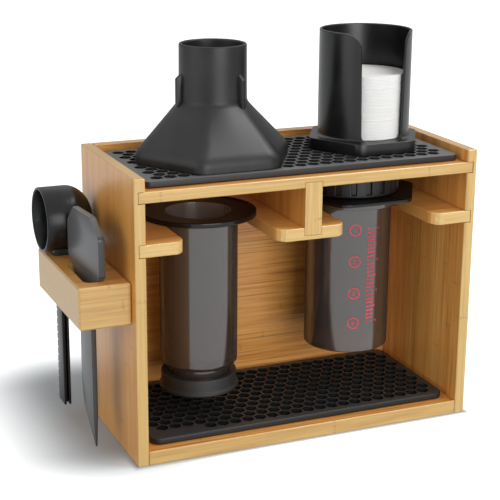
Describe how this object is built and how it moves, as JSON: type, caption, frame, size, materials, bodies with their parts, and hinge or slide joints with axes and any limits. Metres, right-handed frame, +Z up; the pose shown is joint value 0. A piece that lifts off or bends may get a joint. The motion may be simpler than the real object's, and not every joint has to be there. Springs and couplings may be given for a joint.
{
  "type": "coffee press organizer stand",
  "caption": "Bamboo countertop stand with two hanging bays, a mat-lined top tray and a side tool block, storing a hand coffee press, its funnel, filter holder, scoop and stirrer.",
  "frame": {"origin": "centre of the underside of the box, on the counter, midway between the outer faces of the side panels and midway between the front edge and the back face", "axes": "+X to the right as seen from the front, +Y to the back, +Z up; the tool block is at -X and the bays open to -Y"},
  "size_m": [0.3102, 0.1264, 0.2967],
  "materials": {
    "bamboo": "satin lacquered bamboo laminate",
    "dowel_wood": "plain turned wood",
    "screw_steel": "zinc plated",
    "mat_silicone": "matte moulded silicone",
    "seal_rubber": "matte moulded rubber",
    "smoke_plastic": "translucent smoke-grey moulded plastic",
    "black_plastic": "fine moulded texture",
    "grey_plastic": "fine moulded texture",
    "filter_paper": "matte paper"
  },
  "bodies": {
    "stand": {"left_side_panel": "bamboo", "right_side_panel": "bamboo", "top_shelf": "bamboo", "bottom_board": "bamboo", "back_panel": "bamboo", "centre_divider": "bamboo", "left_rail": "bamboo", "centre_rail": "bamboo", "right_rail": "bamboo", "tool_block": "bamboo", "base_dowel_1": "dowel_wood", "base_dowel_2": "dowel_wood", "base_dowel_3": "dowel_wood", "base_dowel_4": "dowel_wood", "back_dowel_1": "dowel_wood", "back_dowel_2": "dowel_wood", "back_dowel_3": "dowel_wood", "back_dowel_4": "dowel_wood", "back_dowel_5": "dowel_wood", "back_dowel_6": "dowel_wood", "block_screw_1": "screw_steel", "block_screw_2": "screw_steel"},
    "top_mat": {"top_mat": "mat_silicone"},
    "bottom_mat": {"bottom_mat": "mat_silicone"},
    "funnel": {"funnel": "black_plastic"},
    "filter_holder": {"filter_holder": "black_plastic"},
    "paper_filters": {"paper_filters": "filter_paper"},
    "plunger": {"plunger": "smoke_plastic", "plunger_seal": "seal_rubber"},
    "chamber": {"chamber": "smoke_plastic"},
    "filter_cap": {"filter_cap": "black_plastic"},
    "scoop": {"scoop": "black_plastic"},
    "stirrer": {"stirrer": "grey_plastic"}
  },
  "joints": [
    {"name": "top_mat_lift", "type": "slide", "parent": "stand", "child": "top_mat", "axis": [0, 0, 1], "range_m": [0, 0.03]},
    {"name": "funnel_lift", "type": "slide", "parent": "top_mat", "child": "funnel", "axis": [0, 0, 1], "range_m": [0, 0.12]},
    {"name": "filter_holder_lift", "type": "slide", "parent": "top_mat", "child": "filter_holder", "axis": [0, 0, 1], "range_m": [0, 0.12]},
    {"name": "paper_filters_lift", "type": "slide", "parent": "filter_holder", "child": "paper_filters", "axis": [0, 0, 1], "range_m": [0, 0.09]},
    {"name": "bottom_mat_slide", "type": "slide", "parent": "stand", "child": "bottom_mat", "axis": [0, -1, 0], "range_m": [0, 0.12]},
    {"name": "plunger_slide", "type": "slide", "parent": "stand", "child": "plunger", "axis": [0, -1, 0], "range_m": [0, 0.12]},
    {"name": "chamber_slide", "type": "slide", "parent": "stand", "child": "chamber", "axis": [0, -1, 0], "range_m": [0, 0.12]},
    {"name": "filter_cap_turn", "type": "hinge", "parent": "chamber", "child": "filter_cap", "pos_m": [0.0623, 0.003, 0.1733], "axis": [0, 0, 1], "range_deg": [0, 45]},
    {"name": "scoop_lift", "type": "slide", "parent": "stand", "child": "scoop", "axis": [0, 0, 1], "range_m": [0, 0.14]},
    {"name": "stirrer_lift", "type": "slide", "parent": "stand", "child": "stirrer", "axis": [0, 0, 1], "range_m": [0, 0.15]}
  ]
}
